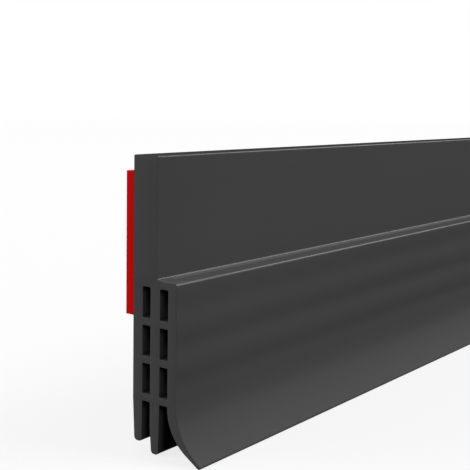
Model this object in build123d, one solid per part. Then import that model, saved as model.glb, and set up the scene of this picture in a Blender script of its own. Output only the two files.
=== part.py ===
from build123d import *
from math import cos, radians, sin, tan
import os

os.makedirs("parts", exist_ok=True)

# Under-door draught stopper: a soft extruded strip and the adhesive tape that holds it to a door.
# Sizes are in millimetres. The strip runs along X, the room is towards -Y, the door towards +Y.
# The origin is the middle of the tape's sticky face, which lies flat on the door.

STRIP_LENGTH = 1000.0

# Solid plate, the upper part of the strip, which is stuck to the door
PLATE_HEIGHT = 20.4
PLATE_THICKNESS = 5.4
PLATE_EDGE_RADIUS = 0.3

# Walls of the hollow box under the plate, from the door side to the room side
BACK_WALL = 2.15
MIDDLE_WALL = 2.15
FRONT_WALL = 1.9
LEDGE_WALL = 1.3
WEB = 1.3
LEDGE_EDGE_RADIUS = 0.45

# Low ramp along the back of the ledge, which runs up to the plate and meets it in a small fillet
RAMP_DEPTH = 1.3
RAMP_HEIGHT = 0.2
RAMP_FILLET_RADIUS = 0.3

# Air cells, two columns of them between the three walls
CELL_ROWS = 3
CELL_DEPTH = 1.75
CELL_HEIGHT = 5.25
CELL_CORNER_RADIUS = 0.2

# Fins that hang from the back and middle walls, both rounded at the end
FIN_DROP = 9.0
FIN_END_RADIUS = 0.65
FIN_ROOT_RADIUS = 0.25
BACK_FIN_GAP = 1.65
BACK_FIN_BACK_TAPER = 0.35
BACK_FIN_FRONT_TAPER = 0.1
MIDDLE_FIN_GAP = 0.15
MIDDLE_FIN_BACK_TAPER = 0.35
MIDDLE_FIN_FRONT_TAPER = 0.2
MIDDLE_FIN_TAPER_HEIGHT = 4.65

# Sweeping blade, which flares out of the front wall and thins towards its tip
BLADE_OUTER_RADIUS = 10.8
BLADE_INNER_RADIUS = 8.4
BLADE_TURN = 59.0
BLADE_TIP_THICKNESS = 0.7

# Tape
TAPE_WIDTH = 24.3
TAPE_THICKNESS = 1.7
TAPE_TOP_MARGIN = 2.7

# Depths in the cross-section, measured forward from the plate's back face
middle_wall_back = BACK_WALL + CELL_DEPTH
middle_wall_front = middle_wall_back + MIDDLE_WALL
front_wall_back = middle_wall_front + CELL_DEPTH
box_depth = front_wall_back + FRONT_WALL

# Heights in the cross-section, measured up from the floor line that the blade sweeps
cell_pitch = CELL_HEIGHT + WEB
ledge_height = FIN_DROP + CELL_ROWS * cell_pitch + LEDGE_WALL
strip_height = ledge_height + PLATE_HEIGHT
tape_middle = strip_height - TAPE_TOP_MARGIN - TAPE_WIDTH / 2

# The cross-section's own x runs forward from the plate's back face, and its y up from the floor line
section_plane = Plane(
    origin=(0, -TAPE_THICKNESS, -tape_middle), x_dir=(0, -1, 0), z_dir=(-1, 0, 0)
)

# A rounded end can't be larger than half of the wall that it ends
FULL_ROUND = 0.49


def block(back, bottom, front, top):
    """Rectangle between two depths and two heights of the cross-section."""
    corner_aligned = (Align.MIN, Align.MIN)
    return Pos(back, bottom) * Rectangle(front - back, top - bottom, align=corner_aligned)


def rounded(section, radius, *corners):
    """The section with the vertices nearest to these corners rounded."""
    nearest = [section.vertices().sort_by_distance((x, y, 0))[0] for x, y in corners]
    return fillet(nearest, radius)


def back_fin():
    """Fin under the back wall. It leans a little off the door and stops short of the floor line."""
    fin_root = FIN_DROP + WEB / 2
    tip_back = BACK_FIN_BACK_TAPER
    tip_front = BACK_WALL - BACK_FIN_FRONT_TAPER
    outline = Polygon(
        (0, fin_root),
        (0, FIN_DROP),
        (tip_back, BACK_FIN_GAP),
        (tip_front, BACK_FIN_GAP),
        (BACK_WALL, FIN_DROP),
        (BACK_WALL, fin_root),
        align=None,
    )
    end_radius = min(FIN_END_RADIUS, FULL_ROUND * (tip_front - tip_back))
    return rounded(outline, end_radius, (tip_back, BACK_FIN_GAP), (tip_front, BACK_FIN_GAP))


def middle_fin():
    """Fin under the middle wall. It ends just above the floor line and thins towards it."""
    fin_root = FIN_DROP + WEB / 2
    tip_back = middle_wall_back + MIDDLE_FIN_BACK_TAPER
    tip_front = middle_wall_front - MIDDLE_FIN_FRONT_TAPER
    outline = Polygon(
        (middle_wall_back, fin_root),
        (middle_wall_back, MIDDLE_FIN_TAPER_HEIGHT),
        (tip_back, MIDDLE_FIN_GAP),
        (tip_front, MIDDLE_FIN_GAP),
        (middle_wall_front, FIN_DROP),
        (middle_wall_front, fin_root),
        align=None,
    )
    end_radius = min(FIN_END_RADIUS, FULL_ROUND * (tip_front - tip_back))
    return rounded(outline, end_radius, (tip_back, MIDDLE_FIN_GAP), (tip_front, MIDDLE_FIN_GAP))


def blade():
    """Blade under the front wall.

    The outer side leaves the wall on one arc. The inner side is a smaller arc and then a straight
    run along the tip's direction, so the blade thins all the way to its rounded tip.
    """
    turn = radians(BLADE_TURN)
    half_tip = BLADE_TIP_THICKNESS / 2
    outer_end = Vector(
        box_depth + BLADE_OUTER_RADIUS * (1 - cos(turn)), half_tip * (1 + sin(turn))
    )
    across = Vector(-cos(turn), -sin(turn))
    along = Vector(sin(turn), -cos(turn))
    tip_middle = outer_end + across * half_tip
    inner_end = outer_end + across * BLADE_TIP_THICKNESS
    arc_start = outer_end.Y + BLADE_OUTER_RADIUS * sin(turn)
    bend_height = inner_end.Y + (inner_end.X - front_wall_back) / tan(turn)
    # The inner arc may not climb past the underside of the cells
    inner_radius = min(BLADE_INNER_RADIUS, (FIN_DROP - bend_height) / tan(turn / 2))
    blade_top = max(arc_start, FIN_DROP) + WEB / 2

    top_and_front = Polyline(
        (front_wall_back, blade_top), (box_depth, blade_top), (box_depth, arc_start)
    )
    outer_arc = CenterArc(
        (box_depth + BLADE_OUTER_RADIUS, arc_start), BLADE_OUTER_RADIUS, 180, BLADE_TURN
    )
    tip_arc = ThreePointArc(outer_end, tip_middle + along * half_tip, inner_end)
    inner_side = FilletPolyline(
        inner_end, (front_wall_back, bend_height), (front_wall_back, blade_top), radius=inner_radius
    )
    return make_face([top_and_front, outer_arc, tip_arc, inner_side])


def ledge_ramp():
    """Low wedge in the corner between the ledge and the plate's front face."""
    root = LEDGE_WALL / 2
    return Polygon(
        (PLATE_THICKNESS + RAMP_DEPTH, ledge_height - root),
        (PLATE_THICKNESS + RAMP_DEPTH, ledge_height),
        (PLATE_THICKNESS, ledge_height + RAMP_HEIGHT),
        (PLATE_THICKNESS - root, ledge_height + RAMP_HEIGHT),
        (PLATE_THICKNESS - root, ledge_height - root),
        align=None,
    )


def cells():
    """The air cells, every one with its own small corner radius."""
    found = []
    for column in (BACK_WALL, middle_wall_front):
        for row in range(CELL_ROWS):
            middle = FIN_DROP + WEB + row * cell_pitch + CELL_HEIGHT / 2
            cell = RectangleRounded(CELL_DEPTH, CELL_HEIGHT, CELL_CORNER_RADIUS)
            found.append(Pos(column + CELL_DEPTH / 2, middle) * cell)
    return found


def strip_section():
    """Whole cross-section of the strip, one closed face with the cells cut out of it."""
    plate = block(0, ledge_height - LEDGE_WALL / 2, PLATE_THICKNESS, strip_height)
    box = block(0, FIN_DROP, box_depth, ledge_height)
    section = plate + box + ledge_ramp() + back_fin() + middle_fin() + blade()
    section = rounded(section, PLATE_EDGE_RADIUS, (0, strip_height), (PLATE_THICKNESS, strip_height))
    section = rounded(section, LEDGE_EDGE_RADIUS, (box_depth, ledge_height))
    ramp_top = (PLATE_THICKNESS, ledge_height + RAMP_HEIGHT)
    section = rounded(section, RAMP_FILLET_RADIUS, ramp_top)
    section = rounded(
        section,
        FIN_ROOT_RADIUS,
        (BACK_WALL, FIN_DROP),
        (middle_wall_back, FIN_DROP),
        (middle_wall_front, FIN_DROP),
    )
    return section - cells()


def sweep_profile():
    """The soft strip: the cross-section extruded along the door."""
    return extrude(section_plane * strip_section(), STRIP_LENGTH / 2, both=True)


def adhesive_tape():
    """Band of tape as long as the strip, between the door and the plate's back face."""
    return Box(
        STRIP_LENGTH, TAPE_THICKNESS, TAPE_WIDTH, align=(Align.CENTER, Align.MAX, Align.CENTER)
    )


for node, solid in (("sweep_profile", sweep_profile()), ("adhesive_tape", adhesive_tape())):
    solid.label = node
    export_step(solid, f"parts/{node}.step")
    print(node, round(solid.volume), "mm3")
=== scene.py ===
# %% [markdown]
# A draught stopper for the foot of a door.
# The real object is a soft rubber strip that is pushed out of a die in one long piece and cut to
# the width of a door. A red tape holds its upper plate to the door, and its fins and its flared
# blade hang down to the floor. The CAD model is the measure for everything here: it says how large
# each piece is and where it sits, and this lesson gives the pieces their real surface and finish.

import bpy
import numpy as np
from mathutils import Matrix, Vector
from mathutils.geometry import delaunay_2d_cdt


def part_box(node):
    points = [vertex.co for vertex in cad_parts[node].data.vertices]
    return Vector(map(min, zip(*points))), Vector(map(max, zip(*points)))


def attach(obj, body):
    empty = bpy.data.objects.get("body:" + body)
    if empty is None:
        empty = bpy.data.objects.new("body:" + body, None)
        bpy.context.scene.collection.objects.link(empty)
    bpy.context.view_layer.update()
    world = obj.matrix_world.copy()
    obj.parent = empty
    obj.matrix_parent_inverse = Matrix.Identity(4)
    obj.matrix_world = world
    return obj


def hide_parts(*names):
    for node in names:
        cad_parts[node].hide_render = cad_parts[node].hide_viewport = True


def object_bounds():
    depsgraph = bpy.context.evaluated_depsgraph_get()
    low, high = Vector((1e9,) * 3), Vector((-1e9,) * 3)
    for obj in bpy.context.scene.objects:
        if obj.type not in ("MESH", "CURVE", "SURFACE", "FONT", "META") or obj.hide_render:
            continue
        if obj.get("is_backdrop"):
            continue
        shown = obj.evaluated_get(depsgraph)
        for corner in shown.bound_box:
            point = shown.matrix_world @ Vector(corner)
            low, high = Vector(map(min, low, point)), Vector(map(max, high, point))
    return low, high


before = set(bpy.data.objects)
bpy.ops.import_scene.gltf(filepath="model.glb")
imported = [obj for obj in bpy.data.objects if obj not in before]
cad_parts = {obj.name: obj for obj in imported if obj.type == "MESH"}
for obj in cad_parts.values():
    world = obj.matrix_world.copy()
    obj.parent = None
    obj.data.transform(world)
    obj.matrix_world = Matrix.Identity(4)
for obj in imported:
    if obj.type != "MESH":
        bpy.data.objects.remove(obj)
cad_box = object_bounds()
MM_PER_METRE = 1000
for node in sorted(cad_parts):
    low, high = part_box(node)
    print(node, "measures", [round(MM_PER_METRE * side, 2) for side in high - low], "mm")

# %% [markdown]
# The camera stands close to one cut end and looks along the strip, a little downwards, so that the
# whole cross-section shows and the rest runs away to the right. Its place and its three turns are
# fixed numbers, found by matching the known edges of the cross-section to a photograph. A camera
# looks along its own minus Z, so its matrix has right, up and backwards as its three columns.

# %% Camera
EYE = (-0.610781, -0.108977, 0.024548)
YAW, PITCH, ROLL = np.radians([52.1758, -8.4283, 1.2121])
FOCAL_PIXELS = 934.032
PICTURE_SIDE = 470
SENSOR = 36.0

forward = np.array([np.sin(YAW) * np.cos(PITCH), np.cos(YAW) * np.cos(PITCH), np.sin(PITCH)])
level = np.array([np.cos(YAW), -np.sin(YAW), 0.0])
upright = np.cross(level, forward)
right = level * np.cos(ROLL) + upright * np.sin(ROLL)
up = upright * np.cos(ROLL) - level * np.sin(ROLL)

camera = bpy.data.objects.new("camera", bpy.data.cameras.new("camera"))
bpy.context.scene.collection.objects.link(camera)
bpy.context.scene.camera = camera
camera.matrix_world = Matrix([*np.column_stack([right, up, -forward, EYE]).tolist(), [0, 0, 0, 1]])
camera.data.sensor_width = SENSOR
camera.data.lens = FOCAL_PIXELS * SENSOR / PICTURE_SIDE
camera.data.clip_start = 0.005
camera.data.clip_end = 100.0
print("lens", round(camera.data.lens, 2), "mm")

# %% [markdown]
# An extrusion is drawn once, as its cross-section. Depths are measured forward from the back face
# of the plate, heights up from the floor line, both in millimetres. The drawing is a list of sharp
# corners, each with the radius that the die gives it. That is how a die maker draws it, and it
# keeps every size readable, where a list of finished points would hide them. WALLS has the depths
# at which the three walls begin and end, and the fins hang down from the height named CEILING.

# %% Sizes of the cross-section
LENGTH = 1000.0
TAPE_THICKNESS = 1.7
TAPE_MIDDLE = 35.5
TOP, LEDGE, CEILING = 50.35, 29.95, 9.0
PLATE = 5.4
WALLS = (0.0, 2.15, 3.9, 6.05, 7.8, 9.7)
WEB = 1.3
CELL_FLOORS = (10.3, 16.85, 23.4)
CELL_HEIGHT = 5.25
CELL_RADIUS = 0.2
EDGE_RADIUS = 0.3
LEDGE_EDGE_RADIUS = 0.45
RAMP_DEPTH, RAMP_HEIGHT = 1.3, 0.2
RAMP_FOOT_RADIUS = 0.6

BACK_FIN_END, MIDDLE_FIN_END = 1.65, 0.15
BACK_FIN_DEPTHS = (0.35, 2.05)
MIDDLE_FIN_DEPTHS = (4.25, 5.85)
BACK_FIN_BEND_RADIUS = 4.0
MIDDLE_FIN_BEND, MIDDLE_FIN_BEND_RADIUS = 4.65, 1.5
FIN_ROOT_RADIUS = 0.25
FIN_END_RADIUS = 0.65

BLADE_TURN = np.radians(59.0)
BLADE_RADIUS = 10.8
BLADE_INNER_RADIUS = 8.4
HALF_TIP = 0.35

down_the_blade = np.array([np.sin(BLADE_TURN), -np.cos(BLADE_TURN)])
across_the_blade = np.array([-np.cos(BLADE_TURN), -np.sin(BLADE_TURN)])
tip_front = np.array([
    WALLS[5] + BLADE_RADIUS * (1 - np.cos(BLADE_TURN)),
    HALF_TIP * (1 + np.sin(BLADE_TURN)),
])
tip_back = tip_front + 2 * HALF_TIP * across_the_blade
blade_bend = tip_front[1] + BLADE_RADIUS * (np.sin(BLADE_TURN) - np.tan(BLADE_TURN / 2))
inner_bend = tip_back[1] + (tip_back[0] - WALLS[4]) / np.tan(BLADE_TURN)
print("blade reaches", round(tip_front[0], 2), "mm forward")

# %% [markdown]
# A rounded corner is an arc that touches both straight sides. If the direction turns by some angle,
# the arc starts before the corner by its radius times the tangent of half that angle, and its
# middle lies square to the first side, on the inner side of the turn. One helper does this for
# every corner and also divides the straight runs, because later steps push single points about.

# %% Outline from corners
SAME_PLACE = 1e-5


def outline_of(corners, arc_step=5.0, run_step=0.3):
    """Closed outline through corners (depth, height, radius), as an array of points.

    An arc point is the arc's middle plus its first spoke turned by a share of the corner's angle.
    A run point is the start plus a share of the way to the next arc. A point that falls on the
    next one is left out.
    """
    table = np.array(corners, float)
    place, radius = table[:, :2], table[:, 2]
    after = np.roll(place, -1, 0) - place
    after /= np.linalg.norm(after, axis=1)[:, None]
    before = np.roll(after, 1, 0)
    leftwards = before[:, 0] * after[:, 1] - before[:, 1] * after[:, 0]
    turn = np.arctan2(leftwards, (before * after).sum(1))
    reach = (radius * np.tan(abs(turn) / 2))[:, None]
    starts = place - reach * before
    ends = place + reach * after
    points = []
    for k in range(len(table)):
        spokes = int(np.ceil(abs(np.degrees(turn[k])) / arc_step)) if radius[k] > 0 else 0
        share = np.linspace(0, 1, spokes + 1)[:, None] * turn[k]
        spoke = np.sign(turn[k]) * radius[k] * np.array([before[k, 1], -before[k, 0]])
        turned = np.cos(share) * spoke + np.sin(share) * np.array([-spoke[1], spoke[0]])
        points.append(starts[k] - spoke + turned)
        gap = starts[(k + 1) % len(table)] - ends[k]
        divisions = int(np.linalg.norm(gap) / run_step)
        points.append(ends[k] + gap * (np.arange(1, divisions) / max(divisions, 1))[:, None])
    points = np.vstack(points)
    apart = np.linalg.norm(np.roll(points, -1, 0) - points, axis=1)
    return points[apart > SAME_PLACE]


strip_outline = outline_of([
    (0, TOP, EDGE_RADIUS),
    (0, CEILING, BACK_FIN_BEND_RADIUS),
    (BACK_FIN_DEPTHS[0], BACK_FIN_END, FIN_END_RADIUS),
    (BACK_FIN_DEPTHS[1], BACK_FIN_END, FIN_END_RADIUS),
    (WALLS[1], CEILING, FIN_ROOT_RADIUS),
    (WALLS[2], CEILING, FIN_ROOT_RADIUS),
    (WALLS[2], MIDDLE_FIN_BEND, MIDDLE_FIN_BEND_RADIUS),
    (MIDDLE_FIN_DEPTHS[0], MIDDLE_FIN_END, FIN_END_RADIUS),
    (MIDDLE_FIN_DEPTHS[1], MIDDLE_FIN_END, FIN_END_RADIUS),
    (WALLS[3], CEILING, FIN_ROOT_RADIUS),
    (WALLS[4], CEILING, 0),
    (WALLS[4], inner_bend, BLADE_INNER_RADIUS),
    (*(tip_back + HALF_TIP * down_the_blade), HALF_TIP),
    (*(tip_front + HALF_TIP * down_the_blade), HALF_TIP),
    (WALLS[5], blade_bend, BLADE_RADIUS),
    (WALLS[5], LEDGE, LEDGE_EDGE_RADIUS),
    (PLATE + RAMP_DEPTH, LEDGE, RAMP_FOOT_RADIUS),
    (PLATE, LEDGE + RAMP_HEIGHT, EDGE_RADIUS),
    (PLATE, TOP, EDGE_RADIUS),
])
strip_depth, strip_height = strip_outline.T
print("strip outline has", len(strip_outline), "points, lowest", round(strip_height.min(), 3))

# %% [markdown]
# The six air cells are drawn the other way round, clockwise, where the outside is drawn
# counterclockwise. The solid rubber is then always on the left of the line, so one rule can tell
# which way is into the rubber, for the outside and for the cells alike.

# %% Air cells
COARSE_ARC_STEP = 15.0

cell_outlines = []
for back, front in (WALLS[1:3], WALLS[3:5]):
    for floor_height in CELL_FLOORS:
        roof_height = floor_height + CELL_HEIGHT
        cell_outlines.append(outline_of([
            (back, floor_height, CELL_RADIUS),
            (back, roof_height, CELL_RADIUS),
            (front, roof_height, CELL_RADIUS),
            (front, floor_height, CELL_RADIUS),
        ], arc_step=COARSE_ARC_STEP))
print(len(cell_outlines), "cells with", len(cell_outlines[0]), "points each")

# %% [markdown]
# Rubber shrinks as it cools. Where the front wall has an air cell behind it, it is drawn in a
# little, and from the front this shows as wide soft bands along the strip. The hollows are real
# shape, so they answer the light from every side. They go in only, never out, and their depth
# wanders along the strip. Shade is also painted into the grey just above the middle of each hollow
# and where the blade starts to flare, and this painted shade is kept as a weight.

# %% Sunken bands
SINK_DEPTH = 0.1

# Middle height, width and weight of each band of painted shade: one at the flare's root, three in hollows
PAINTED_SHADE_BANDS = (
    (7.6, 1.3, 0.8),
    (14.05, 1.5, 1.0),
    (20.6, 1.5, 1.0),
    (27.15, 1.5, 0.5),
)


def bell(value, middle, width):
    """Bell curve, which is 1 where the value is the middle and falls off over the width."""
    return np.exp(-(((value - middle) / width) ** 2))


def sink(height):
    """How far the front wall is drawn in at a height, from 0 at the webs to 1 over a cell.

    The share of the way up a cell, stretched by half a web at both ends, goes through a sine
    whose square is the hollow.
    """
    drawn = np.zeros_like(height)
    for floor_height in CELL_FLOORS:
        share = np.clip((height - floor_height + WEB / 2) / (CELL_HEIGHT + WEB), 0, 1)
        drawn += np.sin(np.pi * share) ** 2
    return drawn


def band(height):
    """Weight of the bands of painted shade at a height."""
    return sum(weight * bell(height, middle, width) for middle, width, weight in PAINTED_SHADE_BANDS)


on_front_wall = abs(strip_depth - WALLS[5]) < SAME_PLACE
strip_sink = np.where(on_front_wall, sink(strip_height), 0.0)
print(int((strip_sink > 0.5).sum()), "points of the outline lie in the hollows")

# %% [markdown]
# More of the finish follows the outline. The small rounded edges of the plate and the ledge leave
# the die polished, and their grey is also painted lighter as a painted highlight, so they show as
# thin bright lines. A painted highlight also lightens the low ramp at the foot of the plate and,
# less, the rest of the ledge. Painted shade darkens the rubber between the fins, most right under
# the cells. The flare of the blade is painted a little paler towards its tip, as painted light,
# and the plate's top face is painted darker, as painted shade. Each of these is a weight per point
# of the outline, which the finish reads later and which bends round with the surface.

# %% Weights of the finish round the outline
UPPER_PART = LEDGE - 0.5
POLISHED_TILT, POLISHED_SPREAD = 50, 19
TOP_TILT, TOP_FRONT = 75, PLATE - 0.05
PAINTED_LIGHT_LOW, PAINTED_LIGHT_HIGH = LEDGE - 0.05, LEDGE + 0.35
PAINTED_LIGHT_END, PAINTED_LIGHT_FADE, LEDGE_PAINTED_LIGHT = 6.75, 0.5, 0.3
FLARE_START, LOOKS_DOWN = WALLS[5] + 0.01, -0.2
TIP_PAINTED_LIGHT, TIP_PAINTED_LIGHT_FADE = 0.15, 1.5
FLARE_PAINTED_LIGHT, FLARE_PAINTED_LIGHT_TOP, FLARE_PAINTED_LIGHT_FADE = 0.03, 7.5, 2
DARK_ROOF, DARK_ROOF_FADE = 0.9, 1.3
OVER_FIN_END = 0.7


def into_the_rubber(outline):
    """Unit steps from the outline into the solid, which lies on the left of the line."""
    along = np.roll(outline, -1, 0) - outline
    along /= np.linalg.norm(along, axis=1)[:, None]
    inward = np.column_stack([-along[:, 1], along[:, 0]])
    mean = inward + np.roll(inward, 1, 0)
    return mean / (1 + (inward * np.roll(inward, 1, 0)).sum(1))[:, None]


def drawn_between(outline, start, end):
    """1 for the points drawn from nearest to one place up to nearest to another, otherwise 0."""
    first, last = [np.argmin(np.linalg.norm(outline - place, axis=1)) for place in (start, end)]
    number = np.arange(len(outline))
    return ((number >= first) & (number <= last)).astype(float)


facing = -into_the_rubber(strip_outline)
tilt = np.degrees(np.arctan2(facing[:, 1], abs(facing[:, 0])))
upper_part = strip_height > UPPER_PART
# Painted highlight on the polished edges, on top of their real coat
strip_polish_and_painted_highlight = np.where(upper_part, bell(tilt, POLISHED_TILT, POLISHED_SPREAD), 0.0)
# Painted shade on the plate's top face, which is darkened, not made duller
strip_top_painted_shade = upper_part & (tilt > TOP_TILT) & (strip_depth < TOP_FRONT)

# Painted highlight on the ramp, and less on the rest of the ledge
on_ledge = (strip_height > PAINTED_LIGHT_LOW) & (strip_height < PAINTED_LIGHT_HIGH) & (strip_depth > PLATE)
strip_painted_light = on_ledge * np.clip((PAINTED_LIGHT_END - strip_depth) / PAINTED_LIGHT_FADE, LEDGE_PAINTED_LIGHT, 1)
# Painted light on the flare of the blade, strongest near its tip
on_flare = (strip_depth > FLARE_START) & (strip_height < CEILING) & (facing[:, 1] > LOOKS_DOWN)
painted_tip_light = TIP_PAINTED_LIGHT * np.exp(-strip_height / TIP_PAINTED_LIGHT_FADE)
painted_flare_light_all_over = FLARE_PAINTED_LIGHT * np.clip((FLARE_PAINTED_LIGHT_TOP - strip_height) / FLARE_PAINTED_LIGHT_FADE, 0, 1)
strip_painted_flare_light = on_flare * (painted_tip_light + painted_flare_light_all_over)
print(int((strip_polish_and_painted_highlight > 0.5).sum()), "points are polished and", int((strip_painted_light > 0.5).sum()), "are pale")

over_back_fin_end = BACK_FIN_END + OVER_FIN_END
over_middle_fin_end = MIDDLE_FIN_END + OVER_FIN_END
# Painted shade on the rubber between the fins
strip_painted_recess_shade = drawn_between(
    strip_outline,
    (BACK_FIN_DEPTHS[1], over_back_fin_end),
    (MIDDLE_FIN_DEPTHS[0], over_middle_fin_end),
)
strip_painted_recess_shade += drawn_between(strip_outline, (MIDDLE_FIN_DEPTHS[1], over_middle_fin_end), tip_back)
# More painted shade right under the cells, at the roof between the fins
strip_painted_roof_shade = DARK_ROOF * strip_painted_recess_shade * bell(strip_height, CEILING, DARK_ROOF_FADE)
print(int(strip_painted_recess_shade.sum()), "points lie between the fins and", int(strip_top_painted_shade.sum()), "on the top")

# %% [markdown]
# Now the outline is carried along X. The surface is a grid: one way round the outline, the other
# way along the strip. A knife never leaves a perfectly sharp edge, so at both cut ends the last few
# stations step into the rubber on a small quarter circle. That thin rounded rim is what catches
# the light round the end of a real strip.

# %% Carry an outline along the strip
STRIP_EASE = 0.05
STRIP_STATIONS = 60
EASE_STATIONS = 5

# Share, wavelength over two pi, and phase of each wave in the depth of the hollows
WAVES = ((0.18, 71.0, 0.6), (0.12, 23.0, 0.0))


def stations(half_length, ease, between):
    """Places along X with how far each is drawn into the rubber.

    On the quarter circle at an end, the place is the end less ease times one minus the sine of an
    angle, and the draw is ease times one minus the cosine of that angle. Between the two quarter
    circles lies a number of even stations without any draw.
    """
    angle = np.linspace(np.pi / 2, 0, EASE_STATIONS)
    place = half_length - ease * (1 - np.sin(angle))
    draw = ease * (1 - np.cos(angle))
    middle = np.linspace(-place[-1], place[-1], between + 2)[1:-1]
    return (
        np.concatenate([-place, middle, place[::-1]]),
        np.concatenate([draw, np.zeros(between), draw[::-1]]),
    )


def carried(outline, place, draw, sunk=0.0):
    """Grid of points: each outline point at each place, moved into the solid by that place's draw.

    Depth runs towards minus Y from the door, so Y is minus the depth and the tape's thickness.
    """
    moved = outline[None] + draw[:, None, None] * into_the_rubber(outline)[None]
    depth = moved[..., 0] - sunk
    along = np.broadcast_to(place[:, None], depth.shape)
    grid = np.stack([along, -depth - TAPE_THICKNESS, moved[..., 1] - TAPE_MIDDLE], -1)
    return grid / MM_PER_METRE


place, draw = stations(LENGTH / 2, STRIP_EASE, STRIP_STATIONS)
wander = 1 + sum(share * np.sin(place / length + phase) for share, length, phase in WAVES)
wander /= 1 + sum(share for share, *_ in WAVES)
strip_grid = carried(strip_outline, place, draw, SINK_DEPTH * np.outer(wander, strip_sink))
cell_grids = [carried(outline, place, draw) for outline in cell_outlines]
print("strip surface is a grid of", strip_grid.shape[0], "by", strip_grid.shape[1])

# %% [markdown]
# The grids become one closed mesh. Each grid is a tube of four-sided faces, and one flat cap closes
# each end of them all, with an opening for every cell. The caps stay flat-shaded, because a flat
# cut has one normal, and the tubes are smooth, except where the section has a true corner.

# %% Mesh from grids and caps
SHARP_ANGLE = 35
INSIDE_ONLY = 1


def tube_faces(rows, columns, first):
    """Four-sided faces of a grid that closes on itself round its columns, facing outwards."""
    i, j = np.meshgrid(np.arange(rows - 1), np.arange(columns), indexing="ij")
    following = (j + 1) % columns
    here, next_row = i * columns, (i + 1) * columns
    faces = np.stack([here + j, next_row + j, next_row + following, here + following], -1)
    return first + faces.reshape(-1, 4)


def cap_faces(loops, firsts, outward):
    """Triangles between an outline and the openings in it, turned to face along outward on X.

    A Delaunay mesh uses every point of the loops, so a cap meets the tubes without a crack. A
    triangle with all its corners on one opening would close that opening, and is left out.
    """
    sizes = [len(loop) for loop in loops]
    numbers = np.concatenate([first + np.arange(size) for first, size in zip(firsts, sizes)])
    loop_of = np.repeat(np.arange(len(loops)), sizes)
    starts = np.cumsum([0, *sizes[:-1]])
    after = np.concatenate([
        start + np.roll(np.arange(size), -1) for start, size in zip(starts, sizes)
    ])
    places = MM_PER_METRE * np.vstack(loops)[:, 1:]
    edges = np.column_stack([np.arange(len(after)), after]).tolist()
    vectors = [Vector(place) for place in places.tolist()]
    _, _, triangles, originals, _, _ = delaunay_2d_cdt(vectors, edges, [], INSIDE_ONLY, 1e-6)
    corners = np.array([[originals[corner][0] for corner in triangle] for triangle in triangles])
    owners = loop_of[corners]
    closes_opening = (owners[:, 0] > 0) & (owners == owners[:, :1]).all(1)
    corners = corners[~closes_opening]
    side, other = [places[corners[:, k]] - places[corners[:, 0]] for k in (1, 2)]
    area = side[:, 0] * other[:, 1] - side[:, 1] * other[:, 0]
    wrong = area * outward < 0
    corners[wrong] = corners[wrong][:, ::-1]
    return numbers[corners]


def extrusion(name, grids):
    """Mesh object from the outer grid and the grids of its openings, with capped ends."""
    counts = [grid.shape[0] * grid.shape[1] for grid in grids]
    firsts = np.concatenate([[0], np.cumsum(counts)[:-1]])
    tubes = [tube_faces(*grid.shape[:2], first) for grid, first in zip(grids, firsts)]
    lasts = [first + (grid.shape[0] - 1) * grid.shape[1] for grid, first in zip(grids, firsts)]
    near = cap_faces([grid[0] for grid in grids], firsts, -1)
    far = cap_faces([grid[-1] for grid in grids], lasts, 1)
    mesh = bpy.data.meshes.new(name)
    points = np.vstack([grid.reshape(-1, 3) for grid in grids])
    walls = np.vstack(tubes).tolist()
    caps = near.tolist() + far.tolist()
    mesh.from_pydata(points.tolist(), [], walls + caps)
    mesh.polygons.foreach_set("use_smooth", [True] * len(walls) + [False] * len(caps))
    mesh.set_sharp_from_angle(angle=np.radians(SHARP_ANGLE))
    mesh.update()
    piece = bpy.data.objects.new(name, mesh)
    bpy.context.scene.collection.objects.link(piece)
    print(name, "has", len(points), "points and", len(walls) + len(caps), "faces")
    return piece


strip = extrusion("draught_strip", [strip_grid, *cell_grids])

# %% [markdown]
# The weights go onto the mesh as attributes, which a finish can read by name. The outside has one
# weight per point of its outline, the same at every station. The cells have a pattern of their own:
# painted shade deepens upwards in them, and the floor and the roof of a cell get the most of it.

# %% Weights on the mesh
DARK_FLOOR, FLOOR_SHARE = 0.45, 0.05
CELL_FADE_START, CELL_FADE = 0.1, 0.5
CELL_ROOF_FADE = 0.15


def keep_weights(piece, name, weights, rows, opening):
    """Stores a weight per outline point on every station, and one per point of every opening."""
    values = np.tile(weights, rows)
    values = np.concatenate([values, np.resize(opening, len(piece.data.vertices) - len(values))])
    piece.data.attributes.new(name, "FLOAT", "POINT").data.foreach_set("value", values)


# Painted shade in bands on the front wall and the flare
strip_painted_band_shade = band(strip_height) * (on_front_wall | on_flare)
up_the_cell = (cell_outlines[0][:, 1] - CELL_FLOORS[0]) / CELL_HEIGHT
# Painted shade in the cells, deeper further up
cell_painted_recess_shade = np.clip((up_the_cell - CELL_FADE_START) / CELL_FADE, 0, 1)
cell_roof = DARK_ROOF * bell(up_the_cell, 1, CELL_ROOF_FADE)
# Most painted shade at the floor and the roof of each cell
cell_painted_roof_and_floor_shade = np.where(up_the_cell < FLOOR_SHARE, DARK_FLOOR, cell_roof)
strip_weights = (
    ("polish_and_painted_highlight", strip_polish_and_painted_highlight, 0.0),
    ("pale", strip_painted_light, 0.0),
    ("painted_flare_light", strip_painted_flare_light, 0.0),
    ("band", strip_painted_band_shade, 0.0),
    ("painted_recess_shade", strip_painted_recess_shade, cell_painted_recess_shade),
    ("painted_roof_and_floor_shade", strip_painted_roof_shade, cell_painted_roof_and_floor_shade),
    ("top_painted_shade", strip_top_painted_shade, 0.0),
)
for name, weights, opening in strip_weights:
    keep_weights(strip, name, weights, len(place), opening)
print(len(strip_weights), "weights are kept on each of", len(strip.data.vertices), "points")

# %% [markdown]
# The tape is a band of foam between two skins of adhesive. Pressed on, the foam draws in a little
# between its skins, so the long edges of the tape are slightly hollow and the skins stand proud.
# It is the same kind of surface as the strip: a small cross-section carried along X.

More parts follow.
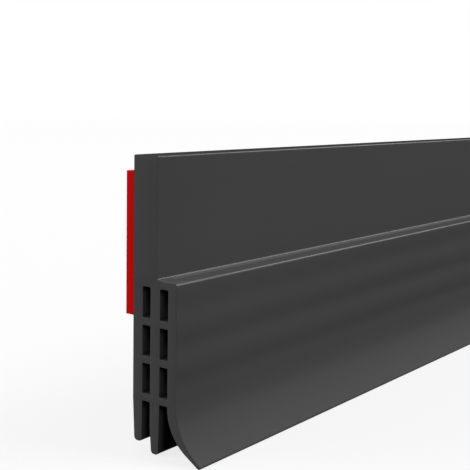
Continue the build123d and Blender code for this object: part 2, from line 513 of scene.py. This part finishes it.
# %% Tape
TAPE_LOW, TAPE_HIGH = 23.35, 47.65
TAPE_EDGE_RADIUS = 0.12
TAPE_RUN_STEP = 0.16
TAPE_EASE = 0.06
TAPE_STATIONS = 20
FOAM_DRAW = 0.05
EDGE_SHARE = 0.98

tape_outline = outline_of([
    (-TAPE_THICKNESS, TAPE_HIGH, TAPE_EDGE_RADIUS),
    (-TAPE_THICKNESS, TAPE_LOW, TAPE_EDGE_RADIUS),
    (0, TAPE_LOW, TAPE_EDGE_RADIUS),
    (0, TAPE_HIGH, TAPE_EDGE_RADIUS),
], arc_step=COARSE_ARC_STEP, run_step=TAPE_RUN_STEP)
through = np.clip(-tape_outline[:, 0] / TAPE_THICKNESS, 0, 1)
above_middle = (tape_outline[:, 1] - TAPE_MIDDLE) / (TAPE_HIGH - TAPE_MIDDLE)
hollow = FOAM_DRAW * np.sin(np.pi * through) * (abs(above_middle) > EDGE_SHARE)
tape_outline[:, 1] -= np.sign(above_middle) * hollow
tape_place, tape_draw = stations(LENGTH / 2, TAPE_EASE, TAPE_STATIONS)
tape = extrusion("adhesive_band", [carried(tape_outline, tape_place, tape_draw)])

# %% [markdown]
# A finish is a tree of nodes. Written one by one, its arithmetic is hard to read, so a small class
# holds one socket and lets Python's own plus, minus and times add the Math nodes. Every other node
# comes from one method, which takes the kind of node, its settings, and what its sockets get.

# %% Feeds
class Feed:
    """One output socket in a finish. Arithmetic on feeds adds Math nodes to the finish."""

    def __init__(self, tree, socket=None):
        self.tree = tree
        self.socket = socket

    def node(self, kind, settings=None, sockets=None, out=0):
        """Adds a node of a kind: settings first, then values or feeds into its sockets."""
        new = self.tree.nodes.new(kind)
        for name, value in (settings or {}).items():
            setattr(new, name, value)
        for name, value in (sockets or {}).items():
            if isinstance(value, Feed):
                self.tree.links.new(value.socket, new.inputs[name])
            else:
                new.inputs[name].default_value = value
        return Feed(self.tree, new.outputs[out] if len(new.outputs) else None)

    def math(self, operation, *values):
        return self.node("ShaderNodeMath", {"operation": operation}, dict(enumerate(values)))

    def __add__(self, other):
        return self.math("ADD", self, other)

    def __sub__(self, other):
        return self.math("SUBTRACT", self, other)

    def __rsub__(self, other):
        return self.math("SUBTRACT", other, self)

    def __mul__(self, other):
        return self.math("MULTIPLY", self, other)

    def __abs__(self):
        return self.math("ABSOLUTE", self)

    __radd__ = __add__
    __rmul__ = __mul__


def new_finish(name):
    """A material with an empty tree, and a feed to start it from."""
    material = bpy.data.materials.new(name)
    material.use_nodes = True
    material.node_tree.nodes.clear()
    return material, Feed(material.node_tree)


def stretched_noise(place, grains, detail=2.0):
    """Noise from 0 to 1 with so many grains per metre along X, Y and Z, so it can run in lines."""
    spot = place.node("ShaderNodeVectorMath", {"operation": "MULTIPLY"}, {0: place, 1: grains})
    return place.node("ShaderNodeTexNoise", {"noise_dimensions": "3D"},
                      {"Vector": spot, "Scale": 1.0, "Detail": detail, "Roughness": 0.55})


def step_between(value, low, high):
    """Smooth step from 0 at low to 1 at high."""
    return value.node("ShaderNodeMapRange", {"interpolation_type": "SMOOTHSTEP"},
                      {"Value": value, "From Min": low, "From Max": high})


def blend(factor, first, second):
    """Mix from a first to a second colour. The node's colour comes out of its third socket."""
    return factor.node("ShaderNodeMix", {"data_type": "RGBA"},
                       {"Factor": factor, "A": first, "B": second}, out=2)


print("feeds are ready")

# %% [markdown]
# The rubber is a dull charcoal grey. Three things keep it from looking like flat paint. The die
# leaves very fine lines along the strip, the grey is slightly cloudy, and both cut ends carry the
# faint strokes of the knife. These are read from object coordinates: noise that is stretched more
# than a thousand times along X makes lines that run the length of the strip on every side of it.
# The weights from before then paint light and shade into the grey, and only the polished edges
# get a thin coat that shines. Between the fins and in the cells the common grey stays right at
# the cut, where light gets in, and painted shade darkens it behind. The painted light on the
# ledge is weaker for the first few millimetres behind the cut, where the side lamp already
# lights the ledge.

# %% Rubber
CHARCOAL = (0.0525, 0.0525, 0.053, 1)
CHARCOAL_WORN = (0.0615, 0.0615, 0.062, 1)
# Colour of painted light, then colour of painted shade
CHARCOAL_PAINTED_LIGHT = (0.104, 0.104, 0.1045, 1)
CHARCOAL_PAINTED_SHADE = (0.003, 0.003, 0.0035, 1)

# Grains per metre along X, Y and Z, and the depth of the relief in metres
DIE_LINES = (1.5, 2300, 2300)
CLOUDS = (14, 55, 55)
FINE_GRAIN = (5200, 5200, 5200)
KNIFE_STROKES = (0, 700, 4200)
RUBBER_RELIEF = 0.00002

# Metres behind the cut over which the finish of the sides, the painted light and the painted shade set in
SIDES_SET_IN = (0.00002, 0.00006)
PAINTED_LIGHT_SETS_IN = (0.0003, 0.0055)
PAINTED_SHADE_SETS_IN = (0.0003, 0.0018)
PAINTED_LIGHT_AT_CUT = 0.15

rubber, start = new_finish("satin_rubber")
spot = start.node("ShaderNodeTexCoord", out="Object")
along = start.node("ShaderNodeSeparateXYZ", sockets={0: spot}, out="X")
behind_the_cut = LENGTH / 2 / MM_PER_METRE - abs(along)
off_the_cut = step_between(behind_the_cut, *SIDES_SET_IN)
cut = 1 - off_the_cut
# Painted light on the ledge is weaker near the cut, where the side lamp lights it already
painted_light_behind_cut = PAINTED_LIGHT_AT_CUT + (1 - PAINTED_LIGHT_AT_CUT) * step_between(behind_the_cut, *PAINTED_LIGHT_SETS_IN)
# Painted shade sets in behind the cut, where less light gets into the recesses
painted_shade_behind_cut = step_between(behind_the_cut, *PAINTED_SHADE_SETS_IN)
die_lines = stretched_noise(spot, DIE_LINES, 3.0)
clouds = stretched_noise(spot, CLOUDS)
grain = stretched_noise(spot, FINE_GRAIN, 1.0)
knife = stretched_noise(spot, KNIFE_STROKES)


def kept_weight(name):
    """A weight that was kept on the mesh. It holds for the sides and is 0 on the cut."""
    return start.node("ShaderNodeAttribute", {"attribute_name": name}, out="Fac") * off_the_cut


polish_and_painted_highlight = kept_weight("polish_and_painted_highlight")
pale = kept_weight("pale") * painted_light_behind_cut + kept_weight("painted_flare_light")
painted_shade = kept_weight("painted_recess_shade") * painted_shade_behind_cut * 0.9 + kept_weight("painted_roof_and_floor_shade") + kept_weight("top_painted_shade") * 0.55
# The painted shade of the bands pulls the grey darker
shade = blend(clouds * 0.6 + die_lines * 0.4 - kept_weight("band") * 0.5, CHARCOAL, CHARCOAL_WORN)
# Painted light: the ramp, the ledge, the flare and the polished edges turn paler
shade = blend(pale * 0.8 + polish_and_painted_highlight * 0.2, shade, CHARCOAL_PAINTED_LIGHT)
# Painted shade between the fins, in the cells and on the top face
shade = blend(painted_shade, shade, CHARCOAL_PAINTED_SHADE)
height = off_the_cut * (die_lines * 0.35 + grain * 0.25) + cut * (knife * 0.8 + grain * 0.4)
relief = start.node("ShaderNodeBump", sockets={
    "Strength": 0.5,
    "Distance": RUBBER_RELIEF,
    "Height": height,
})
shader = start.node("ShaderNodeBsdfPrincipled", sockets={
    "Base Color": shade,
    "Roughness": 0.5 + clouds * 0.1 + die_lines * 0.04 + cut * 0.12,
    "Specular IOR Level": 0.0,
    "Coat Weight": polish_and_painted_highlight * 0.6,
    "Coat Roughness": 0.25,
    "Normal": relief,
})
start.node("ShaderNodeOutputMaterial", sockets={"Surface": shader})
strip.data.materials.append(rubber)
print("rubber has", len(rubber.node_tree.nodes), "nodes")

# %% [markdown]
# The tape is red all through. Its skins are smooth, where the foam between them is dull and full of
# tiny bubbles that show where it was cut. The distance from the middle of the foam tells skin from
# foam, and a round spotty texture makes the bubbles.

# %% Tape finish
TAPE_RED = (0.55, 0.004, 0.004, 1)
TAPE_DEEP_RED = (0.465, 0.003, 0.003, 1)
TAPE_STREAKS = (9, 400, 400)
BUBBLES_PER_METRE = 3600.0
TAPE_RELIEF = 0.00005

# Metres from the middle of the foam over which foam turns into skin
SKIN_SETS_IN = (0.00068, 0.00077)

foam_tape, start = new_finish("red_foam_tape")
spot = start.node("ShaderNodeTexCoord", out="Object")
depth = start.node("ShaderNodeSeparateXYZ", sockets={0: spot}, out="Y")
skin = step_between(abs(depth + TAPE_THICKNESS / 2 / MM_PER_METRE), *SKIN_SETS_IN)
foam = 1 - skin
bubbles = start.node("ShaderNodeTexVoronoi", {"feature": "F1"}, {"Vector": spot, "Scale": BUBBLES_PER_METRE})
streaks = stretched_noise(spot, TAPE_STREAKS)
shade = blend(foam * (1 - bubbles) * 0.5 + streaks * 0.25, TAPE_RED, TAPE_DEEP_RED)
relief = start.node("ShaderNodeBump", sockets={
    "Strength": 0.5,
    "Distance": TAPE_RELIEF,
    "Height": foam * bubbles + skin * streaks * 0.4,
})
shader = start.node("ShaderNodeBsdfPrincipled", sockets={
    "Base Color": shade,
    "Roughness": 0.62 - skin * 0.24 + streaks * 0.06,
    "Specular IOR Level": 0.005,
    "Normal": relief,
})
start.node("ShaderNodeOutputMaterial", sockets={"Surface": shader})
tape.data.materials.append(foam_tape)
print("tape finish has", len(foam_tape.node_tree.nodes), "nodes")

# %% [markdown]
# The stage is a pale floor just under the tip of the blade and a white world. Seen by the camera or
# in a reflection, the world is plain white, and for the light it gives it is a softer grey. The
# floor adds a white glow of its own for the same rays, on top of a matt surface that takes the
# object's shadow, and far out there is only the glow, so it runs into the background without an
# edge. For all other rays the floor is dark, so it throws little light up at the strip.

# %% Floor and backdrop
FLOOR_SIZE = 30.0
FLOOR_GAP = 0.00005
WHITE = (1, 1, 1, 1)
FLOOR_GREY = (0.55, 0.55, 0.55, 1)
FLOOR_DARK = (0.1, 0.1, 0.1, 1)
WORLD_LIGHT = 0.6

# Share of glow round the strip, and the metres from it over which the glow takes over
GLOW_NEAR = 0.8
GLOW_SETS_IN = (0.7, 2.5)

ground = strip_grid[..., 2].min() - FLOOR_GAP
half = FLOOR_SIZE / 2
floor_corners = [(-half, -half, ground), (half, -half, ground), (half, half, ground), (-half, half, ground)]
floor_mesh = bpy.data.meshes.new("floor")
floor_mesh.from_pydata(floor_corners, [], [(0, 1, 2, 3)])
floor = bpy.data.objects.new("floor", floor_mesh)
bpy.context.scene.collection.objects.link(floor)
floor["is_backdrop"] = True


def seen_rays(start):
    """1 for a ray that the camera sees directly or in a reflection, otherwise 0."""
    path = start.node("ShaderNodeLightPath", out="Is Camera Ray")
    rays = path.socket.node.outputs
    glossy = Feed(start.tree, rays["Is Glossy Ray"])
    through_glass = Feed(start.tree, rays["Is Transmission Ray"])
    return path.math("MAXIMUM", path.math("MAXIMUM", path, glossy), through_glass)


pale_floor, start = new_finish("pale_floor")
spot = start.node("ShaderNodeTexCoord", out="Object")
distance = start.node("ShaderNodeVectorMath", {"operation": "LENGTH"}, {0: spot}, out="Value")
ground_matt = start.node("ShaderNodeBsdfDiffuse", sockets={"Color": FLOOR_GREY})
glow = start.node("ShaderNodeEmission", sockets={"Color": WHITE, "Strength": 1.0})
glow_share = GLOW_NEAR + (1 - GLOW_NEAR) * step_between(distance, *GLOW_SETS_IN)
seen = start.node("ShaderNodeMixShader", sockets={0: glow_share, 1: ground_matt, 2: glow})
dim = start.node("ShaderNodeBsdfDiffuse", sockets={"Color": FLOOR_DARK})
both = start.node("ShaderNodeMixShader", sockets={0: seen_rays(start), 1: dim, 2: seen})
start.node("ShaderNodeOutputMaterial", sockets={"Surface": both})
floor_mesh.materials.append(pale_floor)

world = bpy.data.worlds.new("studio")
bpy.context.scene.world = world
world.use_nodes = True
world.node_tree.nodes.clear()
start = Feed(world.node_tree)
room = start.node("ShaderNodeBackground", sockets={"Color": WHITE, "Strength": WORLD_LIGHT})
white = start.node("ShaderNodeBackground", sockets={"Color": WHITE, "Strength": 1.0})
both = start.node("ShaderNodeMixShader", sockets={0: seen_rays(start), 1: room, 2: white})
start.node("ShaderNodeOutputWorld", sockets={"Surface": both})
print("floor is", round(-MM_PER_METRE * ground, 2), "mm below the middle of the tape")

# %% [markdown]
# Four large soft lamps light the strip. The main one stands in front and above. A side lamp lights
# the cut end that the camera sees. A weak one far along the strip is there for the polished edges
# to mirror, and one behind keeps the back from going dark. Their size makes the light soft, and
# their strength is set so that a colour comes out about as it is written.

# %% Lamps
def softbox(name, position, target, size, power):
    """Square lamp at a position, turned so that its own minus Z points at the target."""
    lamp = bpy.data.objects.new(name, bpy.data.lights.new(name, "AREA"))
    bpy.context.scene.collection.objects.link(lamp)
    lamp.data.shape = "SQUARE"
    lamp.data.size = size
    lamp.data.energy = power
    back = np.subtract(position, target)
    distance = np.linalg.norm(back)
    back /= distance
    side = np.cross([0, 0, 1], back)
    side /= np.linalg.norm(side)
    columns = np.column_stack([side, np.cross(back, side), back, position])
    lamp.matrix_world = Matrix([*columns.tolist(), [0, 0, 0, 1]])
    print(name, "stands", round(float(distance), 2), "m away")


softbox("main_lamp", (1.2, -2.1, 2.5), (-0.3, 0, 0), 2.0, 122)
softbox("side_lamp", (-2.1, 1.8, 1.3), (-0.3, 0, 0), 1.6, 60)
softbox("far_lamp", (1.55, -0.16, 1.4), (-0.45, 0, 0), 0.9, 8)
softbox("back_lamp", (1.0, 2.6, 1.6), (0, 0, 0), 2.0, 30)
bpy.context.scene.view_settings.view_transform = "Standard"

# %% [markdown]
# The last step ties the pieces to the CAD model. Each surface stands for one CAD node, which is
# hidden but stays behind it, and each surface rides on the only body. The two boxes are printed
# side by side, so that any change of size from dressing the part can be seen.

# %% Join the pieces to the frame
for piece, node, slot in (
    (strip, "sweep_profile", "strip_rubber"),
    (tape, "adhesive_tape", "tape_red"),
):
    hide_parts(node)
    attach(piece, "root")

visual_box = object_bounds()
for name, (low, high) in (("CAD box", cad_box), ("visual box", visual_box)):
    print(name, [round(MM_PER_METRE * v, 3) for v in (*low, *high)])
